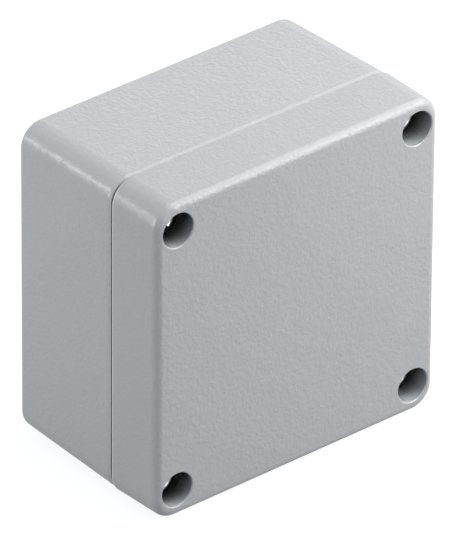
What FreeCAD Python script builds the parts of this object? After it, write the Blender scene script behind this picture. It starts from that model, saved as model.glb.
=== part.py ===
import FreeCAD, Part
import math
import os

from FreeCAD import Vector

# A die cast aluminium box: a deep base, a shallow cover, the seal between them,
# four captive cover screws with their retaining rings, and an earth screw inside.
# Millimetres. X is the width, Y runs from the cover's face to the back, Z is up.
# The origin is under the middle of the box, on the surface that it stands on.

# Driving sizes of the case
box_width = 100.0
box_height = 100.0
box_depth = 60.0
cover_depth = 19.3
corner_radius = 7.0
cover_overhang = 0.2
cover_draft = 0.8
base_draft = 1.2
cover_edge_radius = 2.4
base_edge_radius = 1.6
base_rim_radius = 1.8
cover_rim_edge = 0.4
rim_gap = 0.3

# Walls and the hollow inside
base_wall = 4.5
base_floor = 4.0
cover_face = 4.0
hollow_corner_radius = 4.0
hollow_floor_edge = 1.5
cover_lip = 1.6

# Cover screws, in deep channels at the cover's corners
channel_wall_x = 2.6
channel_wall_z = 3.5
channel_mouth_edge = 0.3
head_sink = 7.6
head_diameter = 10.0
head_play = 0.2
head_height = 3.9
head_edge = 0.5
slot_width = 1.6
slot_depth = 2.0
slot_angles = (62.0, 118.0, 35.0, 80.0)
thread_diameter = 6.0
shank_diameter = 4.4
cover_hole_play = 0.3
seat_web = 3.0
thread_engaged = 9.4
thread_play = 0.05
thread_run_out = 3.0
tip_chamfer = 0.8
cover_pad_width = 1.0

# Retaining rings, which travel with the screws
ring_thickness = 1.2
ring_diameter = 8.0
ring_bore_play = 0.1
ring_recess_play = 0.3
ring_travel = 10.0
ring_floor_gap = 0.6

# Holes that fix the box to a wall, outside the seal
fixing_hole_diameter = 4.5
fixing_recess_diameter = 8.5
fixing_floor = 5.0
fixing_wall = 2.25
fixing_rib = 1.2
cover_pocket_diameter = 8.0
cover_pocket_depth = 12.0

# Seal: a rib on the base presses into the gasket in the cover's groove
seal_setback = 1.0
seal_rib_width = 1.5
seal_rib_height = 1.2
seal_rib_edge = 0.3
groove_width = 2.7
groove_depth = 3.2
groove_wall = 1.0
gasket_side_play = 0.1

# Bosses on the floor for what is mounted inside
boss_setback_x = 8.55
boss_setback_z = 9.3
boss_diameter = 8.0
boss_height = 6.0
boss_hole_diameter = 3.3
boss_hole_depth = 8.0
boss_foot = 1.0
boss_taper = 0.2

# Earth screw with its washers, on a boss of its own
earth_x = 0.0
earth_setback = 11.3
earth_boss_diameter = 11.0
earth_boss_height = 5.0
earth_thread_diameter = 5.0
earth_hole_depth = 7.5
earth_washer_diameter = 10.0
earth_washer_thickness = 1.2
earth_washer_play = 0.25
spring_washer_diameter = 9.2
spring_washer_thickness = 1.2
spring_washer_play = 0.15
spring_washer_slit = 0.8
spring_washer_slant = 25.0
earth_head_diameter = 8.5
earth_head_height = 3.3
earth_head_edge = 0.5
earth_slot_width = 1.2
earth_slot_depth = 1.5
earth_slot_angle = 20.0
earth_screw_reach = 6.0
earth_tip_chamfer = 0.6

# Places that follow from the sizes
front_y = -box_depth / 2
back_y = box_depth / 2
seam_y = front_y + cover_depth
rim_y = seam_y - rim_gap
floor_y = back_y - base_floor
middle_z = box_height / 2
base_width = box_width - 2 * cover_overhang
base_height = box_height - 2 * cover_overhang
channel_radius = head_diameter / 2 + head_play
ring_recess_radius = ring_diameter / 2 + ring_recess_play
screw_x = box_width / 2 - channel_wall_x - channel_radius
screw_z = box_height / 2 - channel_wall_z - channel_radius
fixing_x = screw_x
fixing_z = screw_z - ring_recess_radius - fixing_wall - fixing_recess_diameter / 2
head_top_y = front_y + head_sink
head_seat_y = head_top_y + head_height
ring_roof_y = head_seat_y + seat_web
ring_front_y = ring_roof_y + ring_travel
thread_start_y = ring_front_y + ring_thickness
ring_recess_floor_y = thread_start_y + ring_floor_gap
screw_tip_y = ring_recess_floor_y + thread_engaged
groove_half = groove_width / 2
seal_rib_half = seal_rib_width / 2

# The hollow is a cross: it steps in round the pillars that hold the corner holes
hollow_half_x = base_width / 2 - base_wall
hollow_half_z = base_height / 2 - base_wall
notch_x = screw_x - ring_recess_radius - groove_wall - groove_half - seal_setback
notch_z = fixing_z - fixing_recess_diameter / 2 - fixing_rib - seal_rib_half - seal_setback
cover_hollow_inset = groove_half - seal_setback + cover_lip
boss_x = notch_x - boss_setback_x
boss_z = hollow_half_z - boss_setback_z
earth_z = earth_setback - hollow_half_z


def taper(depth, draft):
    """How far a drafted wall leans in over a depth."""
    return depth * math.tan(math.radians(draft))


def place(x, y, z):
    """A point, with z counted from the middle of the box."""
    return Vector(x, y, z + middle_z)


def rectangle(width, height):
    """Corners (x, z) of a rectangle about the middle of the box."""
    x = width / 2
    z = height / 2
    return [(x, z), (-x, z), (-x, -z), (x, -z)]


def cross(grow):
    """Corners (x, z) of the hollow's cross, with every side moved out by grow."""
    x = hollow_half_x + grow
    z = hollow_half_z + grow
    step_x = notch_x + grow
    step_z = notch_z + grow
    quarter = [(x, step_z), (step_x, step_z), (step_x, z)]
    corners = list(quarter)
    corners += [(-px, pz) for px, pz in reversed(quarter)]
    corners += [(-px, -pz) for px, pz in quarter]
    corners += [(px, -pz) for px, pz in reversed(quarter)]
    return corners


def flat_face(points):
    """The flat face inside a ring of points."""
    return Part.Face(Part.makePolygon(points + points[:1]))


def frustum(first, first_y, second, second_y):
    """The flat-sided solid between two outlines with as many corners each."""
    near = [place(x, first_y, z) for x, z in first]
    far = [place(x, second_y, z) for x, z in second]
    faces = [flat_face(near), flat_face(far)]
    for i in range(len(near)):
        faces.append(flat_face([near[i - 1], near[i], far[i], far[i - 1]]))
    solid = Part.makeSolid(Part.makeShell(faces))
    if solid.Volume < 0:
        solid.reverse()
    return solid


def rail_edges(solid):
    """The edges that run from the front to the back."""
    return [e for e in solid.Edges if abs(e.Vertexes[0].Y - e.Vertexes[-1].Y) > 1]


def rim_edges(solid, y):
    """The edges that lie wholly at one depth."""
    return [e for e in solid.Edges if abs(e.BoundBox.YMin - y) < 0.01 and e.BoundBox.YLength < 0.01]


def rounded_outline(grow, y):
    """The hollow's cross as a wire with rounded corners, every side moved out by grow."""
    corners = cross(grow)
    edges = []
    joins = []
    count = len(corners)
    for i in range(count):
        before = place(corners[i - 1][0], y, corners[i - 1][1])
        corner = place(corners[i][0], y, corners[i][1])
        after = place(corners[(i + 1) % count][0], y, corners[(i + 1) % count][1])
        to_before = (before - corner).normalize()
        to_after = (after - corner).normalize()
        steps_in = i % 3 == 1
        radius = hollow_corner_radius - grow if steps_in else hollow_corner_radius + grow
        centre = corner + (to_before + to_after) * radius
        middle = centre + (corner - centre).normalize() * radius
        start = corner + to_before * radius
        end = corner + to_after * radius
        edges.append(Part.Arc(start, middle, end).toShape())
        joins.append((start, end))
    for i in range(count):
        edges.append(Part.LineSegment(joins[i - 1][1], joins[i][0]).toShape())
    return Part.Wire(Part.__sortEdges__(edges))


def seal_band(half_width, y, depth):
    """A band along the seal's line: a rib, a groove or the gasket."""
    outer = Part.Face(rounded_outline(seal_setback + half_width, y))
    inner = Part.Face(rounded_outline(seal_setback - half_width, y))
    return outer.extrude(Vector(0, depth, 0)).cut(inner.extrude(Vector(0, depth, 0)))


def turned(path, x, z):
    """A solid turned about an axis along Y, from its half profile's (radius, y) corners."""
    profile = flat_face([place(x + radius, y, z) for radius, y in path])
    return profile.revolve(place(x, 0, z), Vector(0, 1, 0), 360)


def four_corners(x, z):
    """The four places (x, z) of a pattern about the middle, in order round the box."""
    return [(x, z), (-x, z), (-x, -z), (x, -z)]


def screw_channel(x, z):
    """What a cover screw's way takes out of the cover."""
    bore = channel_radius
    mouth = bore + channel_mouth_edge
    hole = thread_diameter / 2 + cover_hole_play
    path = [(0, front_y - 1), (mouth, front_y - 1), (mouth, front_y), (bore, front_y + channel_mouth_edge)]
    path += [(bore, head_seat_y), (hole, head_seat_y), (hole, ring_roof_y)]
    path += [(ring_recess_radius, ring_roof_y), (ring_recess_radius, seam_y + 1), (0, seam_y + 1)]
    return turned(path, x, z)


def screw_hole(x, z):
    """What a cover screw's way takes out of the base: the ring's recess and the threaded hole."""
    hole = thread_diameter / 2 + thread_play
    end = screw_tip_y + thread_run_out
    path = [(0, seam_y - 1), (ring_recess_radius, seam_y - 1), (ring_recess_radius, ring_recess_floor_y)]
    path += [(hole, ring_recess_floor_y), (hole, end), (0, end)]
    return turned(path, x, z)


def fixing_hole(x, z):
    """What a wall fixing screw needs: a deep recess from the rim and a hole in the back."""
    recess = fixing_recess_diameter / 2
    hole = fixing_hole_diameter / 2
    recess_y = back_y - fixing_floor
    path = [(0, seam_y - 1), (recess, seam_y - 1), (recess, recess_y), (hole, recess_y)]
    path += [(hole, back_y + 1), (0, back_y + 1)]
    return turned(path, x, z)


def floor_boss(x, z, diameter, top_y):
    """A tapered boss that grows out of the floor with a wider foot."""
    top = diameter / 2
    foot = top + boss_taper
    sink = floor_y + base_floor / 2
    path = [(0, top_y), (top, top_y), (foot, floor_y - boss_foot)]
    path += [(foot + boss_foot, floor_y), (foot + boss_foot, sink), (0, sink)]
    return turned(path, x, z)


def cored_hole(x, z, diameter, mouth_y, end_y):
    """A blind hole with the flat end that a mould's core leaves, cut a little past its mouth."""
    radius = diameter / 2
    past_mouth = mouth_y - math.copysign(1, end_y - mouth_y)
    low, high = sorted((past_mouth, end_y))
    return turned([(0, low), (radius, low), (radius, high), (0, high)], x, z)


def make_base():
    """The deep half of the case, cast in one piece."""
    lean = taper(back_y - seam_y, base_draft)
    back_width = base_width - 2 * lean
    back_height = base_height - 2 * lean
    block = frustum(rectangle(base_width, base_height), seam_y, rectangle(back_width, back_height), back_y)
    block = block.makeFillet(corner_radius, rail_edges(block))
    block = block.makeFillet(base_edge_radius, rim_edges(block, back_y))
    block = block.makeFillet(base_rim_radius, rim_edges(block, seam_y))
    hollow = frustum(cross(0), seam_y, cross(-taper(floor_y - seam_y, base_draft)), floor_y)
    hollow = hollow.makeFillet(hollow_corner_radius, rail_edges(hollow))
    hollow = hollow.makeChamfer(hollow_floor_edge, rim_edges(hollow, floor_y))
    rib = seal_band(seal_rib_half, seam_y - seal_rib_height, seal_rib_height)
    rib = rib.makeChamfer(seal_rib_edge, rim_edges(rib, seam_y - seal_rib_height))
    base = block.cut(hollow).fuse(rib)
    boss_top = floor_y - boss_height
    for x, z in four_corners(boss_x, boss_z):
        base = base.fuse(floor_boss(x, z, boss_diameter, boss_top))
        base = base.cut(cored_hole(x, z, boss_hole_diameter, boss_top, boss_top + boss_hole_depth))
    earth_top = floor_y - earth_boss_height
    earth_hole = earth_thread_diameter + 2 * thread_play
    base = base.fuse(floor_boss(earth_x, earth_z, earth_boss_diameter, earth_top))
    base = base.cut(cored_hole(earth_x, earth_z, earth_hole, earth_top, earth_top + earth_hole_depth))
    for x, z in four_corners(screw_x, screw_z):
        base = base.cut(screw_hole(x, z))
    for x, z in four_corners(fixing_x, fixing_z):
        base = base.cut(fixing_hole(x, z))
    return base.removeSplitter()


def make_cover():
    """The shallow half, with the screw channels, the seal's groove and its own hollow."""
    lean = taper(rim_y - front_y, cover_draft)
    front_width = box_width - 2 * lean
    front_height = box_height - 2 * lean
    block = frustum(rectangle(front_width, front_height), front_y, rectangle(box_width, box_height), rim_y)
    block = block.makeFillet(corner_radius, rail_edges(block))
    block = block.makeFillet(cover_edge_radius, rim_edges(block, front_y))
    block = block.makeChamfer(cover_rim_edge, rim_edges(block, rim_y))
    inside_y = front_y + cover_face
    inset = cover_hollow_inset
    hollow = frustum(cross(-inset - taper(rim_y - inside_y, cover_draft)), inside_y, cross(-inset), rim_y)
    hollow = hollow.makeFillet(hollow_corner_radius, rail_edges(hollow))
    hollow = hollow.makeChamfer(hollow_floor_edge, rim_edges(hollow, inside_y))
    cover = block.cut(hollow)
    cover = cover.cut(seal_band(groove_half, seam_y - groove_depth, groove_depth))
    pad_radius = ring_recess_radius + cover_pad_width
    for x, z in four_corners(screw_x, screw_z):
        pad = turned([(0, rim_y - 1), (pad_radius, rim_y - 1), (pad_radius, seam_y), (0, seam_y)], x, z)
        cover = cover.fuse(pad).cut(screw_channel(x, z))
    for x, z in four_corners(fixing_x, fixing_z):
        cover = cover.cut(cored_hole(x, z, cover_pocket_diameter, rim_y, rim_y - cover_pocket_depth))
    return cover.removeSplitter()


def make_gasket():
    """The closed seal ring, pressed as deep as the base's rib pushes it."""
    bottom_y = seam_y - groove_depth
    return seal_band(groove_half - gasket_side_play, bottom_y, groove_depth - seal_rib_height)


def slotted(screw, x, z, top_y, width, depth, angle):
    """A screw with a slot right across its head, turned by an angle."""
    length = screw.BoundBox.XLength + 2
    slot = Part.makeBox(length, depth + 1, width, place(x - length / 2, top_y - 1, z - width / 2))
    slot.rotate(place(x, 0, z), Vector(0, 1, 0), angle)
    return screw.cut(slot)


def make_cover_screw(x, z, angle):
    """A slotted cheese head screw whose shank is thinner than its thread."""
    head = head_diameter / 2
    shank = shank_diameter / 2
    thread = thread_diameter / 2
    path = [(0, head_top_y), (head - head_edge, head_top_y), (head, head_top_y + head_edge)]
    path += [(head, head_seat_y), (shank, head_seat_y), (shank, thread_start_y), (thread, thread_start_y)]
    path += [(thread, screw_tip_y - tip_chamfer), (thread - tip_chamfer, screw_tip_y), (0, screw_tip_y)]
    return slotted(turned(path, x, z), x, z, head_top_y, slot_width, slot_depth, angle)


def ring(x, z, inner, outer, first_y, last_y):
    """A plain flat ring about an axis along Y."""
    return turned([(inner, first_y), (outer, first_y), (outer, last_y), (inner, last_y)], x, z)


def make_retaining_ring(x, z):
    """The ring on the shank that the screw's thread can't pass, so the screw stays with the cover."""
    bore = shank_diameter / 2 + ring_bore_play
    return ring(x, z, bore, ring_diameter / 2, ring_front_y, thread_start_y)


def make_earth_pieces():
    """The earth screw, its flat washer and its split spring washer, stacked on the boss."""
    thread = earth_thread_diameter / 2
    boss_y = floor_y - earth_boss_height
    washer_y = boss_y - earth_washer_thickness
    spring_y = washer_y - spring_washer_thickness
    top_y = spring_y - earth_head_height
    tip_y = boss_y + earth_screw_reach
    head = earth_head_diameter / 2
    washer = ring(earth_x, earth_z, thread + earth_washer_play, earth_washer_diameter / 2, washer_y, boss_y)
    spring_bore = thread + spring_washer_play
    spring = ring(earth_x, earth_z, spring_bore, spring_washer_diameter / 2, spring_y, washer_y)
    slit_length = spring_washer_diameter
    slit_depth = 4 * spring_washer_thickness
    slit_y = (spring_y + washer_y - slit_depth) / 2
    slit_corner = place(earth_x, slit_y, earth_z - spring_washer_slit / 2)
    slit = Part.makeBox(slit_length, slit_depth, spring_washer_slit, slit_corner)
    slit.rotate(place(earth_x, (spring_y + washer_y) / 2, earth_z), Vector(1, 0, 0), spring_washer_slant)
    path = [(0, top_y), (head - earth_head_edge, top_y), (head, top_y + earth_head_edge)]
    path += [(head, spring_y), (thread, spring_y)]
    path += [(thread, tip_y - earth_tip_chamfer), (thread - earth_tip_chamfer, tip_y), (0, tip_y)]
    blank = turned(path, earth_x, earth_z)
    screw = slotted(blank, earth_x, earth_z, top_y, earth_slot_width, earth_slot_depth, earth_slot_angle)
    return {"earth_screw": screw, "earth_washer": washer, "earth_spring_washer": spring.cut(slit)}


def make_pieces():
    """Every piece of the box by its name."""
    pieces = {"base": make_base(), "cover": make_cover(), "gasket": make_gasket()}
    places = four_corners(screw_x, screw_z)
    for number, ((x, z), angle) in enumerate(zip(places, slot_angles), start=1):
        pieces[f"cover_screw_{number}"] = make_cover_screw(x, z, angle)
        pieces[f"retaining_ring_{number}"] = make_retaining_ring(x, z)
    pieces.update(make_earth_pieces())
    return pieces


os.makedirs("parts", exist_ok=True)
for name, shape in make_pieces().items():
    state = "valid" if shape.isValid() else "not valid"
    print(name, state, len(shape.Solids), "solid", round(shape.Volume, 1), "mm3")
    shape.Solids[0].exportStep(f"parts/{name}.step")
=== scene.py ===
# %% [markdown]
# # A die cast aluminium box
# The object is a small grey case for wiring: a deep base, a shallow cover, a seal between
# them and four long screws that stay in the cover when they are undone. Its shape comes from
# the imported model, already at its real size, so this script only gives each piece its finish,
# adds the screws' threads, and sets up the light and the camera. Everything is in metres.

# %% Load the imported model
import math

import bmesh
import bpy
from mathutils import Matrix, Vector


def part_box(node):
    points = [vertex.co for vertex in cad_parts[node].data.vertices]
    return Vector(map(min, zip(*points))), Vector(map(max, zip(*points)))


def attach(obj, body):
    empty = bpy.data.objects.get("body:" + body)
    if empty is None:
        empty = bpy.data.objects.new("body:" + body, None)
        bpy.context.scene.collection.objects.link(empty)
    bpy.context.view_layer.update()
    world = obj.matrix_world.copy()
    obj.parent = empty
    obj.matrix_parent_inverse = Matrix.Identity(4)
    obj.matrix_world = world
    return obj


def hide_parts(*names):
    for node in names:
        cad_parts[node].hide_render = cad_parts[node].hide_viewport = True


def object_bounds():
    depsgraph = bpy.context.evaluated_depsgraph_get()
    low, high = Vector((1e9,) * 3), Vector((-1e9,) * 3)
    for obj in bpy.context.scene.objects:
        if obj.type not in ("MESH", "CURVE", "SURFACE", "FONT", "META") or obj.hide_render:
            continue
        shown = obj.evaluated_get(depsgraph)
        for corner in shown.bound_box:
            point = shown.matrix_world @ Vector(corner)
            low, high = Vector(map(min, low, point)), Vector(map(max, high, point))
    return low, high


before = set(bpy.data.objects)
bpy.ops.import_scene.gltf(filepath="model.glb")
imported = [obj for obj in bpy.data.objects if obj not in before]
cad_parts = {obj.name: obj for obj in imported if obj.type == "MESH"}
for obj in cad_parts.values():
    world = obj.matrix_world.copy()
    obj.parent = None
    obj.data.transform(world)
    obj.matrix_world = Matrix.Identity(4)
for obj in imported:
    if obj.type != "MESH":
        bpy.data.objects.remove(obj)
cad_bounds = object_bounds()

print("nodes:", ", ".join(sorted(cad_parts)))
print("whole object:", [round(float(v), 4) for corner in cad_bounds for v in corner])

# %% [markdown]
# ## Sizes that the finishes need
# A finish on a casting changes from place to place: powder coat outside, bare metal inside and
# in the threads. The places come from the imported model's own boxes, and only what a box can't
# tell, such as a radius, is written as a number. Every mask below is measured from them. Lengths
# are written in millimetres times MM, which makes metres of them.

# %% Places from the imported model
MM = 0.001
CORNER_RADIUS = 7.0 * MM
CHANNEL_RADIUS = 5.2 * MM
HOLE_RADIUS = 3.05 * MM
RIM_GAP = 0.3 * MM
M6_HEAD_HEIGHT = 3.9 * MM
M6_PITCH = 1.0 * MM

MIDDLE_Z = (cad_bounds[0][2] + cad_bounds[1][2]) / 2
FRONT_Y = cad_bounds[0][1]
BACK_Y = cad_bounds[1][1]
SEAM_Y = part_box("cover")[1][1]
RIM_Y = SEAM_Y - RIM_GAP
SEAT_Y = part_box("cover_screw_1")[0][1] + M6_HEAD_HEIGHT
CORNER_CENTRE = cad_bounds[1][0] - CORNER_RADIUS


def axis_of(node):
    """Where a turned piece's axis runs, as (x, z) with z counted from the middle of the box."""
    low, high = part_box(node)
    return (low[0] + high[0]) / 2, (low[2] + high[2]) / 2 - MIDDLE_Z


CORNERS = [axis_of(f"cover_screw_{number}") for number in range(1, 5)]
EARTH = axis_of("earth_screw")
print("screws stand at", [(round(x, 4), round(z + MIDDLE_Z, 4)) for x, z in CORNERS])
print("the halves meet at y =", round(SEAM_Y, 4))

# %% [markdown]
# ## Shader maths as Python
# A procedural finish is mostly arithmetic on positions. In the node editor that means dozens of
# small Math nodes wired by hand, which is hard to read. One small class wraps an output socket
# and overloads the operators, so that `1 - mask` adds the node itself.

# %% A socket that does sums


class Wire:
    """An output socket of a shader tree, on which sums add their Math nodes."""

    def __init__(self, finish, socket):
        self.finish = finish
        self.socket = socket

    def sum_node(self, operation, *values):
        made = self.finish.node("ShaderNodeMath", {"operation": operation}, dict(enumerate(values)))
        return made["Value"]

    def __add__(self, other):
        return self.sum_node("ADD", self, other)

    def __sub__(self, other):
        return self.sum_node("SUBTRACT", self, other)

    def __rsub__(self, other):
        return self.sum_node("SUBTRACT", other, self)

    def __mul__(self, other):
        return self.sum_node("MULTIPLY", self, other)

    def __truediv__(self, other):
        return self.sum_node("DIVIDE", self, other)

    def __abs__(self):
        return self.sum_node("ABSOLUTE", self)

    __radd__ = __add__

    def larger(self, other):
        return self.sum_node("MAXIMUM", self, other)

    def smaller(self, other):
        return self.sum_node("MINIMUM", self, other)

    def rise(self, start, end):
        """0 before start, 1 after end and smooth between, which makes a mask with a soft edge."""
        return self.finish.node(
            "ShaderNodeMapRange", {"interpolation_type": "SMOOTHSTEP"},
            {"Value": self, "From Min": start, "From Max": end})["Result"]


class Made:
    """A node that was just added. Its outputs are picked by name."""

    def __init__(self, finish, node):
        self.finish = finish
        self.node = node

    def __getitem__(self, output):
        return Wire(self.finish, self.node.outputs[output])


class Nodes:
    """A node tree of a material or a world, with the tools to fill it."""

    def __init__(self, owner):
        owner.use_nodes = True
        self.tree = owner.node_tree
        self.tree.nodes.clear()

    def join(self, socket, value):
        if isinstance(value, Wire):
            self.tree.links.new(value.socket, socket)
        else:
            socket.default_value = value

    def node(self, kind, settings=None, inputs=None):
        """Any node: its settings are set first, then its sockets get values or links."""
        node = self.tree.nodes.new(kind)
        for key, value in (settings or {}).items():
            setattr(node, key, value)
        for key, value in (inputs or {}).items():
            self.join(node.inputs[key], value)
        return Made(self, node)

    def place(self):
        """Where a point lies on the object, in metres, as (x, y, z from the middle)."""
        corner = self.node("ShaderNodeTexCoord")["Object"]
        parts = self.node("ShaderNodeSeparateXYZ", inputs={"Vector": corner})
        return corner, parts["X"], parts["Y"], parts["Z"] - MIDDLE_Z

    def noise(self, where, grain, detail=2.0, warp=0.0):
        """Noise from 0 to 1 whose blotches are about grain metres across."""
        return self.node(
            "ShaderNodeTexNoise", {"noise_dimensions": "3D"},
            {"Vector": where, "Scale": 1 / grain, "Detail": detail, "Distortion": warp})["Fac"]

    def stretched(self, where, x, y, z):
        """The same place with each axis scaled, for marks that run one way."""
        return self.node(
            "ShaderNodeVectorMath", {"operation": "MULTIPLY"}, {0: where, 1: (x, y, z)})["Vector"]

    def blend(self, mask, first, second):
        """A colour that goes from first to second as mask goes from 0 to 1."""
        pair = {"Factor": mask, 6: colour(first), 7: colour(second)}
        made = self.node("ShaderNodeMix", {"data_type": "RGBA"}, pair)
        return Wire(self, made.node.outputs[2])

    def bump(self, height, depth, normal=None):
        """Relief from a height of 0 to 1 that stands for depth metres."""
        inputs = {"Height": height, "Distance": depth, "Strength": 1.0}
        if normal is not None:
            inputs["Normal"] = normal
        return self.node("ShaderNodeBump", inputs=inputs)["Normal"]


class Finish(Nodes):
    """A material with one Principled shader."""

    def __init__(self, name):
        self.material = bpy.data.materials.new(name)
        super().__init__(self.material)
        self.shader = self.tree.nodes.new("ShaderNodeBsdfPrincipled")
        self.node("ShaderNodeOutputMaterial", inputs={"Surface": Wire(self, self.shader.outputs[0])})

    def give(self, **values):
        """Fills the Principled shader's own sockets. An underscore stands for a space."""
        for key, value in values.items():
            self.join(self.shader.inputs[key.replace("_", " ")], value)


def colour(value):
    """A colour as Blender's sockets want it, with its alpha."""
    if isinstance(value, Wire) or len(value) == 4:
        return value
    return (*value, 1.0)


def length(finish, across, along):
    """The length of a vector with two parts."""
    return finish.node("ShaderNodeMath", {"operation": "SQRT"}, {0: across * across + along * along})["Value"]


def from_axis(finish, x, z, axis_x, axis_z):
    """Distance in metres from a line along Y through (axis_x, axis_z)."""
    return length(finish, x - axis_x, z - axis_z)


print("shader tools ready")

# %% [markdown]
# ## Threads in the holes
# The holes for the screws are plain cylinders in the drawing, because a modelled thread in a
# hole that nobody can look into would only cost time. A bump that climbs by one pitch a turn
# gives the same look. The angle round the hole and the depth together make the spiral.

# %% A spiral groove round an axis


def thread_relief(finish, x, y, z, axis_x, axis_z, pitch):
    """A triangle wave from 0 to 1 that winds round an axis along Y."""
    angle = finish.node("ShaderNodeMath", {"operation": "ARCTAN2"}, {0: z - axis_z, 1: x - axis_x})["Value"]
    phase = y / pitch + angle / (2 * math.pi)
    return finish.node("ShaderNodeMath", {"operation": "PINGPONG"}, {0: phase, 1: 0.5})["Value"] * 2


# %% [markdown]
# ## The case: powder coat outside, bare casting inside
# The parts are cast in aluminium alloy, blasted, and sprayed with a grey powder that melts into
# a tough skin about 0.1 mm thick. The seal needs clean metal and so do the threads, so the
# inside, the rims and the holes stay bare. Each place gets a mask from 0 to 1 that is measured
# from its axis or its face, which holds from any side and needs no unwrapping.
# The four screw channels are deep and narrow. Hardly any light reaches far into them, least of
# all the walls that face down, so their walls get painted light and shade: a painted light grey
# near the mouth and low down that falls to a painted near black with the depth and the height in
# the channel. The lamp stands at the right, so the painted shade in the channels on that side is
# a little weaker.

# %% Masks of the channels and holes


def shaded(value, painted_light_tone):
    """A colour made lighter or darker."""
    return tuple(part * painted_light_tone for part in value)


def total(parts):
    """The sum of several masks."""
    result = parts[0]
    for part in parts[1:]:
        result = result + part
    return result


def channel_masks(finish, x, y, z):
    """Where the walls of the screw channels are, and how much painted shade each spot on them gets.
    Going in by deep_step darkens a wall as much as going up by high_step does."""
    deep_step = 8.4 * MM
    high_step = 14.5 * MM
    walls = []
    channel_painted_shade = []
    for axis_x, axis_z in CORNERS:
        away = from_axis(finish, x, z, axis_x, axis_z)
        near = 1 - away.rise(CHANNEL_RADIUS + 0.05 * MM, CHANNEL_RADIUS + 0.25 * MM)
        wall = near * (1 - y.rise(SEAT_Y - 0.1 * MM, SEAT_Y + 0.1 * MM))
        hidden = (y - FRONT_Y) / deep_step + (z - axis_z) / high_step
        start = -0.35 if axis_x < 0 else -0.2
        walls.append(wall)
        channel_painted_shade.append(wall * hidden.rise(start, start + 0.95))
    return total(walls), total(channel_painted_shade)


def hole_threads(finish, x, y, z):
    """The relief of the threads in the base's four screw holes."""
    cuts = []
    for axis_x, axis_z in CORNERS:
        away = from_axis(finish, x, z, axis_x, axis_z)
        in_hole = 1 - away.rise(HOLE_RADIUS + 0.1 * MM, HOLE_RADIUS + 0.2 * MM)
        cuts.append(thread_relief(finish, x, y, z, axis_x, axis_z, M6_PITCH) * in_hole)
    return total(cuts)


print("masks for", len(CORNERS), "channels ready")

# %% [markdown]
# Melted powder never lies quite flat: it keeps a fine "orange peel" that breaks up every
# highlight into small beads. It could be sculpted, but bump at the right grain is lighter and
# looks the same from any side. Two noises make it, one with wrinkles a millimetre apart and one
# three times as wide, because a single noise looks too even. On the round corners the melt
# draws together, so there the wrinkles give way to wider, softer drops.
# The base's grey is painted a hair lighter than the cover's. This is painted light, because the
# base's side catches more light. At the sides and below, the seam gets a painted shade line where
# the gap lies in shadow, with a painted lighter band beside it on the base's rounded rim, and the
# cover's rear edge gets a painted highlight.

# %% The case's finish


def case_finish(name, painted_light_tone, face, rim, is_cover):
    """Powder coat on the outside, cast metal inside. The pair face says between which two
    places along Y bare metal turns into coat, and the pair rim does so for the edge at the seam."""
    finish = Finish(name)
    where, x, y, z = finish.place()
    wander = (finish.noise(where, 1.6 * MM, 3) - 0.5) * (0.5 * MM)
    past_x = (abs(x) - CORNER_CENTRE).larger(0.0)
    past_z = (abs(z) - CORNER_CENTRE).larger(0.0)
    out = length(finish, past_x, past_z) + wander - CORNER_RADIUS
    sides = out.rise(-3.0 * MM, -2.7 * MM)
    painted = (sides * y.rise(*rim)).larger((y + wander).rise(*face))
    beside = 1 - (z - CORNER_CENTRE).rise(3.5 * MM, 6.8 * MM)
    from_rim = y - RIM_Y
    from_seam = y - SEAM_Y

    grit = finish.noise(where, 0.35 * MM, 2)
    cloud = finish.noise(where, 22 * MM, 2)
    # painted light: the base's coat is made a hair lighter than the cover's
    darker = shaded((0.430, 0.433, 0.438), painted_light_tone)
    lighter = shaded((0.450, 0.452, 0.456), painted_light_tone)
    coat = finish.blend(cloud, darker, lighter)
    coat = finish.blend(grit.rise(0.35, 0.75) * 0.5, coat, (0.461, 0.463, 0.467))
    if is_cover:
        walls, channel_painted_shade = channel_masks(finish, x, y, z)
        painted = painted.larger(walls)
        # painted highlight: a lighter band on the cover's rear rim edge, at the sides and below
        edge = beside * from_rim.rise(-0.95 * MM, -0.75 * MM)
        # painted light and shade on the channel walls: light grey near the mouth, near black deeper in
        channel_painted_light_and_shade = finish.blend(channel_painted_shade, (0.52, 0.55, 0.57), (0.012, 0.012, 0.013))
        coat = finish.blend(edge, coat, (0.66, 0.665, 0.67))
        coat = finish.blend(walls, coat, channel_painted_light_and_shade)
    else:
        # painted light on the base's rim rounding, then painted shade in the seam's gap, at the sides and
        # below
        painted_seam_light = beside * (1 - from_seam.rise(0.8 * MM, 1.5 * MM))
        painted_seam_shade = beside * (1 - from_seam.rise(0.45 * MM, 0.75 * MM))
        coat = finish.blend(painted_seam_light, coat, (0.58, 0.585, 0.59))
        coat = finish.blend(painted_seam_shade, coat, (0.05, 0.05, 0.052))

    rounding = past_x.smaller(past_z).rise(0.8 * MM, 2.4 * MM)
    peel = finish.noise(where, 1.05 * MM, 1.0, warp=0.3)
    swell = finish.noise(where, 3.0 * MM, 1.0)
    drops = finish.noise(where, 1.9 * MM, 0.0)
    skin = peel * (0.65 - rounding * 0.5) + swell * 0.35 + drops * rounding * 0.5
    flow = finish.noise(finish.stretched(where, 1.0, 0.25, 1.0), 6 * MM, 4, warp=0.8)
    metal = finish.blend(flow, (0.62, 0.625, 0.635), (0.80, 0.80, 0.805))
    coat_gloss = 0.20 + swell * 0.05 + rounding * 0.08
    metal_gloss = 0.34 + flow * 0.22 + grit * 0.08
    height = painted * skin + (1 - painted) * (grit * 0.22 + flow * 0.10)
    normal = finish.bump(height, 0.25 * MM)
    if not is_cover:
        normal = finish.bump(hole_threads(finish, x, y, z), 0.55 * MM, normal)
    finish.give(
        Base_Color=finish.blend(painted, metal, coat),
        Metallic=1 - painted,
        Roughness=metal_gloss + painted * (coat_gloss - metal_gloss),
        Normal=normal)
    return finish


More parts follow.
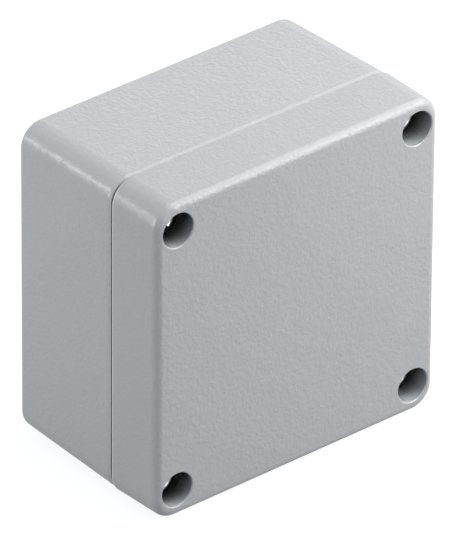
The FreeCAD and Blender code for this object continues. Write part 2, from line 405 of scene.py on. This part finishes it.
base_face = (BACK_Y - 2.4 * MM, BACK_Y - 2.1 * MM)
base_rim = (SEAM_Y + 0.02 * MM, SEAM_Y + 0.06 * MM)
cover_face = (FRONT_Y + 3.6 * MM, FRONT_Y + 3.2 * MM)
cover_rim = (RIM_Y - 0.05 * MM, RIM_Y - 0.15 * MM)
base_coat = case_finish("grey powder coat on the base", 1.035, base_face, base_rim, False)
cover_coat = case_finish("grey powder coat on the cover", 1.0, cover_face, cover_rim, True)
print("case finishes:", base_coat.material.name, "and", cover_coat.material.name)

# %% [markdown]
# ## Rubber, nylon, brass and steel
# The seal is moulded rubber: nearly black, dull, with a faint bloom. The retaining rings are
# natural nylon, slightly milky. Screws and washers are turned on a lathe, which leaves fine
# rings about their own axis: the rings are a noise that only changes with the distance from
# the axis, so they need one finish for each axis.

# %% Small pieces' finishes


def rubber_finish():
    finish = Finish("black seal rubber")
    where, x, y, z = finish.place()
    bloom = finish.noise(where, 9 * MM, 3)
    grain = finish.noise(where, 0.5 * MM, 3)
    finish.give(
        Base_Color=finish.blend(bloom.rise(0.35, 0.8), (0.022, 0.022, 0.024), (0.045, 0.045, 0.047)),
        Roughness=0.62 + bloom * 0.18,
        Normal=finish.bump(grain, 0.03 * MM))
    return finish


def nylon_finish():
    finish = Finish("natural nylon")
    where, x, y, z = finish.place()
    milky = finish.noise(where, 3 * MM, 2)
    grain = finish.noise(where, 0.25 * MM, 2)
    finish.give(
        Base_Color=finish.blend(milky, (0.68, 0.66, 0.59), (0.76, 0.74, 0.68)),
        Roughness=0.36 + milky * 0.14,
        Subsurface_Weight=0.15,
        Subsurface_Radius=(1.2 * MM, 1.0 * MM, 0.8 * MM),
        Normal=finish.bump(grain, 0.01 * MM))
    return finish


def turned_finish(name, dark, light, axis_x, axis_z, roughness):
    """Metal with lathe marks about an axis along Y, and a few brighter handling marks."""
    finish = Finish(name)
    where, x, y, z = finish.place()
    away = from_axis(finish, x, z, axis_x, axis_z)
    ring_place = finish.node("ShaderNodeCombineXYZ", inputs={"X": away, "Y": y, "Z": 0.0})["Vector"]
    rings = finish.noise(ring_place, 0.09 * MM, 2)
    smudge = finish.noise(where, 2.2 * MM, 3)
    finish.give(
        Base_Color=finish.blend(smudge, dark, light),
        Metallic=1.0,
        Roughness=roughness + smudge * 0.08 + rings * 0.06,
        Normal=finish.bump(rings, 0.006 * MM))
    return finish


rubber = rubber_finish()
nylon = nylon_finish()
steel = {
    number: turned_finish(f"turned steel {number}", (0.45, 0.44, 0.42), (0.62, 0.61, 0.59), x, z, 0.22)
    for number, (x, z) in enumerate(CORNERS, start=1)}
earth_steel = turned_finish("spring steel", (0.45, 0.44, 0.43), (0.60, 0.59, 0.57), *EARTH, 0.26)
brass = turned_finish("turned brass", (0.62, 0.42, 0.16), (0.78, 0.58, 0.27), *EARTH, 0.22)
print("small finishes:", rubber.material.name, nylon.material.name, brass.material.name)

# %% [markdown]
# An imported node already has a material slot. Putting a new material in that slot changes the
# look and leaves the mesh alone, which is what the frame asks for.

# %% Dress the imported nodes
finishes = {
    "base": base_coat, "cover": cover_coat, "gasket": rubber,
    "earth_washer": brass, "earth_spring_washer": earth_steel}
for number in range(1, 5):
    finishes[f"retaining_ring_{number}"] = nylon
for node, finish in finishes.items():
    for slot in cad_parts[node].material_slots:
        slot.material = finish.material
print("dressed", len(finishes), "packed nodes")

# %% [markdown]
# ## Screws with a real thread
# A screw's thread shows as soon as the screw stands out of its hole, and bump alone leaves its
# outline straight, so these threads are geometry. A thread is a cylinder whose radius depends
# on the angle and the height together: going once round has to climb by one pitch. So the
# screw is built like a turned part, ring by ring, and only in the threaded part the radius
# follows the spiral. The slot is cut with a Boolean, and its sharp edges get a small bevel,
# because a real edge always catches a line of light.

# %% Screw builder
AROUND = 48
STEPS_PER_PITCH = 10


def thread_radius(crest, depth, y, angle, pitch):
    """Radius of a rounded 60 degree thread at a height and an angle."""
    phase = (y / pitch + angle / (2 * math.pi)) % 1.0
    slope = abs(2 * phase - 1)
    return crest - depth * min(max((slope - 0.12) / 0.72, 0), 1)


def screw_rows(head_path, shank, thread_start, tip, crest, depth, pitch, chamfer):
    """Rings of (y, radii) from the head's top to the tip."""
    rows = [(y, [radius] * AROUND) for radius, y in head_path]
    rows.append((thread_start, [shank] * AROUND))
    steps = int((tip - thread_start) / pitch * STEPS_PER_PITCH)
    for step in range(1, steps + 1):
        y = thread_start + (tip - thread_start) * step / steps
        run_in = min(step / STEPS_PER_PITCH, 1.0)
        limit = crest - max(0.0, y - (tip - chamfer))
        radii = []
        for i in range(AROUND):
            angle = 2 * math.pi * i / AROUND
            wanted = thread_radius(crest, depth, y, angle, pitch)
            radii.append(min(shank + (wanted - shank) * run_in, limit))
        rows.append((y, radii))
    return rows


def turned_mesh(rows, axis_x, axis_z):
    """A closed mesh from rings round an axis along Y."""
    mesh = bmesh.new()
    rings = []
    for y, radii in rows:
        ring = []
        for i, radius in enumerate(radii):
            angle = 2 * math.pi * i / AROUND
            place = (axis_x + radius * math.cos(angle), y, axis_z + radius * math.sin(angle))
            ring.append(mesh.verts.new(place))
        rings.append(ring)
    for first, second in zip(rings, rings[1:]):
        for i in range(AROUND):
            j = (i + 1) % AROUND
            mesh.faces.new((first[i], first[j], second[j], second[i]))
    mesh.faces.new(rings[0])
    mesh.faces.new(list(reversed(rings[-1])))
    bmesh.ops.recalc_face_normals(mesh, faces=mesh.faces)
    return mesh


def cut_slot(piece, axis_x, axis_z, top_y, width, depth, reach, degrees):
    """Cuts a screwdriver slot across a head with a Boolean, and leaves no helper behind."""
    cutter_mesh = bmesh.new()
    bmesh.ops.create_cube(cutter_mesh, size=1.0)
    size = Matrix.Diagonal((reach, 2 * depth, width, 1.0))
    turn = Matrix.Rotation(-math.radians(degrees), 4, "Y")
    cutter_mesh.transform(Matrix.Translation((axis_x, top_y, axis_z)) @ turn @ size)
    cutter_data = bpy.data.meshes.new("slot cutter")
    cutter_mesh.to_mesh(cutter_data)
    cutter_mesh.free()
    cutter = bpy.data.objects.new("slot cutter", cutter_data)
    bpy.context.scene.collection.objects.link(cutter)
    cut = piece.modifiers.new("slot", "BOOLEAN")
    cut.object = cutter
    cut.operation = "DIFFERENCE"
    cut.solver = "EXACT"
    bpy.context.view_layer.update()
    ready = piece.evaluated_get(bpy.context.evaluated_depsgraph_get())
    piece.data = bpy.data.meshes.new_from_object(ready)
    piece.modifiers.clear()
    bpy.data.objects.remove(cutter)


def soften_head(piece, head_end, width):
    """Bevels the sharp edges of the head alone, so the thread keeps its form."""
    mesh = bmesh.new()
    mesh.from_mesh(piece.data)
    bmesh.ops.remove_doubles(mesh, verts=mesh.verts, dist=1e-7)
    sharp = []
    for edge in mesh.edges:
        in_head = all(v.co.y < head_end for v in edge.verts)
        if in_head and len(edge.link_faces) == 2 and edge.calc_face_angle() > math.radians(35):
            sharp.append(edge)
    bmesh.ops.bevel(mesh, geom=sharp, offset=width, segments=2, affect="EDGES", clamp_overlap=True)
    mesh.to_mesh(piece.data)
    mesh.free()


def make_screw(name, axis, rows, slot, head_end, finish):
    """One threaded screw as a finished piece."""
    mesh = turned_mesh(rows, *axis)
    data = bpy.data.meshes.new(name)
    mesh.to_mesh(data)
    mesh.free()
    piece = bpy.data.objects.new(name, data)
    bpy.context.scene.collection.objects.link(piece)
    cut_slot(piece, *axis, *slot)
    soften_head(piece, head_end, 0.07 * MM)
    piece.data.materials.clear()
    piece.data.materials.append(finish.material)
    piece.data.shade_smooth()
    piece.data.set_sharp_from_angle(angle=math.radians(38))
    print(name, "has", len(piece.data.polygons), "faces")
    return piece


# %% [markdown]
# The four cover screws are M6 cheese heads. The shank between head and thread is thinner, so
# that the retaining ring can sit there and the thread can't pass it. The thread is drawn a
# hair under its nominal size, as real ones are, so it clears the hole. Pressing a head leaves
# its face slightly hollow, and the rim of that hollow is what glints deep in the channels.

# %% Cover screws
SLOT_ANGLES = (62, 118, 35, 80)
M6_SHANK = 2.2 * MM
M6_CREST = 2.95 * MM

for number, ((x, z), degrees) in enumerate(zip(CORNERS, SLOT_ANGLES), start=1):
    low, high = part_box(f"cover_screw_{number}")
    top, tip = low[1], high[1]
    seat = top + M6_HEAD_HEIGHT
    hollow = [(3.5 * MM, top + 0.3 * MM), (3.75 * MM, top + 0.22 * MM), (4.0 * MM, top + 0.1 * MM)]
    face = [(4.3 * MM, top), (4.6 * MM, top), (5.0 * MM, top + 0.4 * MM)]
    head = hollow + face + [(5.0 * MM, seat), (M6_SHANK, seat)]
    thread_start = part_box(f"retaining_ring_{number}")[1][1]
    rows = screw_rows(head, M6_SHANK, thread_start, tip, M6_CREST, 0.58 * MM, M6_PITCH, 0.8 * MM)
    slot = (top, 1.6 * MM, 2.0 * MM, 12 * MM, degrees)
    screw = make_screw(
        f"threaded_cover_screw_{number}", (x, z + MIDDLE_Z), rows, slot, seat - 0.5 * MM, steel[number])
    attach(screw, f"screw_{number}")
    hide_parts(f"cover_screw_{number}")

# %% [markdown]
# The earth screw clamps a ring terminal between its washers and the boss. It is brass and M5,
# with the standard 0.8 mm pitch, and is made in the same way.

# %% Earth screw
M5_HEAD_HEIGHT = 3.3 * MM
M5_SHANK = 2.0 * MM
M5_CREST = 2.45 * MM
M5_PITCH = 0.8 * MM

low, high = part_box("earth_screw")
top, tip = low[1], high[1]
seat = top + M5_HEAD_HEIGHT
head = [(3.75 * MM, top), (4.25 * MM, top + 0.5 * MM), (4.25 * MM, seat), (M5_SHANK, seat)]
rows = screw_rows(head, M5_SHANK, seat + 0.6 * MM, tip, M5_CREST, 0.46 * MM, M5_PITCH, 0.6 * MM)
slot = (top, 1.2 * MM, 1.5 * MM, 10 * MM, 20)
earth_axis = (EARTH[0], EARTH[1] + MIDDLE_Z)
earth_screw = make_screw("threaded_earth_screw", earth_axis, rows, slot, seat - 0.5 * MM, brass)
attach(earth_screw, "earth_screw")
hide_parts("earth_screw")

# %% [markdown]
# ## Floor and background
# The photograph's background is plain white. A floor that is only white paper would have to be
# lit very brightly, and that light would bounce up on the box. So the floor stays a mid grey
# for bounced light, and rays from the camera get some extra white on top. The shadow is still
# there, because the floor's own part of the light is missing where the box stands. The floor's
# mirror image in the coat and the screws gets less of that white, so that the box's lower edges
# come out dark, as they do in the photograph.

# %% Floor and world


def seen_directly(finish, in_gloss):
    """1 for rays that show the background to the camera, and in_gloss for its mirror image."""
    path = finish.node("ShaderNodeLightPath")
    straight = path["Is Camera Ray"].larger(path["Is Transmission Ray"])
    return straight.larger(path["Is Glossy Ray"] * in_gloss)


floor_paper = Finish("studio paper")
where, x, y, z = floor_paper.place()
fibre = floor_paper.noise(where, 3 * MM, 3)
floor_paper.give(
    Base_Color=floor_paper.blend(fibre, (0.268, 0.286, 0.302), (0.288, 0.306, 0.322)),
    Roughness=0.9,
    Specular_IOR_Level=0.1,
    Emission_Color=(1, 1, 1, 1),
    Emission_Strength=seen_directly(floor_paper, 0.45) * 0.85)
floor_data = bpy.data.meshes.new("studio_floor")
floor_data.from_pydata([(-4, -4, 0), (4, -4, 0), (4, 4, 0), (-4, 4, 0)], [], [(0, 1, 2, 3)])
floor_data.materials.append(floor_paper.material)
studio_floor = bpy.data.objects.new("studio_floor", floor_data)
bpy.context.scene.collection.objects.link(studio_floor)

world = bpy.data.worlds.new("studio")
bpy.context.scene.world = world
room = Nodes(world)
sky = room.node("ShaderNodeBackground", inputs={
    "Color": (0.915, 0.96, 1.0, 1), "Strength": 0.35 + seen_directly(room, 1.0) * 0.75})
room.node("ShaderNodeOutputWorld", inputs={"Surface": sky["Background"]})
print("floor and world set")

# %% [markdown]
# ## Lamps
# The photograph shows three tones: a light top, a middle front that darkens towards the lower
# left, and a darker left side. A large soft box overhead makes the first. A small one close to
# the upper right of the front makes the fall across it, because near light fades quickly. A
# third one on the left keeps that side from going dark.
# The other three are weak, and each is there for one highlight: a tiny one close by for the
# beaded line along the upper left corner, one straight in front for the glint of the screw
# heads in their channels, and one low behind that rakes over the top and shows its grain.
# Strength is given as the share of white that a surface facing the lamp gets, which is easier
# to judge than watts.

# %% Soft boxes
CENTRE = Vector((0, 0, MIDDLE_Z))


def soft_box(name, towards, distance, width, height, share):
    """A rectangular lamp that faces the box's middle from a direction and a distance. share is
    what it adds to a white card that faces it."""
    direction = Vector(towards).normalized()
    lamp = bpy.data.lights.new(name, "AREA")
    lamp.shape = "RECTANGLE"
    lamp.size = width
    lamp.size_y = height
    lamp.energy = share * math.pi ** 2 * distance ** 2
    stand = bpy.data.objects.new(name, lamp)
    stand.location = CENTRE + direction * distance
    stand.rotation_euler = direction.to_track_quat("Z", "Y").to_euler()
    stand.visible_camera = False
    bpy.context.scene.collection.objects.link(stand)
    print(name, "gives", share)


soft_box("overhead soft box", (0.52, -0.25, 0.80), 1.0, 1.1, 1.1, 1.04)
soft_box("front right soft box", (0.60, -0.70, 0.45), 0.31, 0.2, 0.2, 0.45)
soft_box("front spark", (0.0, -1.0, 0.02), 1.0, 0.2, 0.2, 0.11)
soft_box("back right soft box", (0.599, 0.715, 0.358), 1.5, 0.5, 0.3, 0.022)
soft_box("left fill soft box", (-0.92, 0.32, 0.20), 0.8, 0.3, 0.3, 0.365)
soft_box("corner spark", (-0.719, 0.618, 0.319), 0.376, 0.03, 0.03, 0.085)

# %% [markdown]
# ## Camera
# A product photograph like this is taken from far away with a long lens, so that parallel edges
# stay nearly parallel. The direction, the distance and the lens were worked out from where the
# box's edges and the rims of its four screw channels lie in the photograph. The Standard view
# shows each colour as it is written.

# %% Camera
FRAME_HEIGHT_PX = 540
FOCAL_LENGTH_PX = 10594.6
SENSOR_WIDTH_MM = 36
yaw, pitch, roll = math.radians(39.97), math.radians(31.583), math.radians(0.413)
distance = 2900.5 * MM
right = Vector((math.cos(yaw), -math.sin(yaw), 0))
back = Vector((-math.sin(yaw) * math.cos(pitch), -math.cos(yaw) * math.cos(pitch), math.sin(pitch)))
up = back.cross(right)
aside = -3.229 * MM
above = 0.571 * MM
target = Vector((0, -5 * MM, MIDDLE_Z)) + right * aside + up * above

camera_data = bpy.data.cameras.new("camera")
camera_data.sensor_width = SENSOR_WIDTH_MM
camera_data.lens = FOCAL_LENGTH_PX * SENSOR_WIDTH_MM / FRAME_HEIGHT_PX
camera = bpy.data.objects.new("camera", camera_data)
turn = Matrix((right, up, back)).transposed().to_4x4()
camera.matrix_world = Matrix.Translation(target + back * distance) @ turn @ Matrix.Rotation(roll, 4, "Z")
bpy.context.scene.collection.objects.link(camera)
bpy.context.scene.camera = camera
bpy.context.scene.view_settings.view_transform = "Standard"
print("camera", round(camera_data.lens, 1), "mm from", [round(v, 3) for v in camera.location])
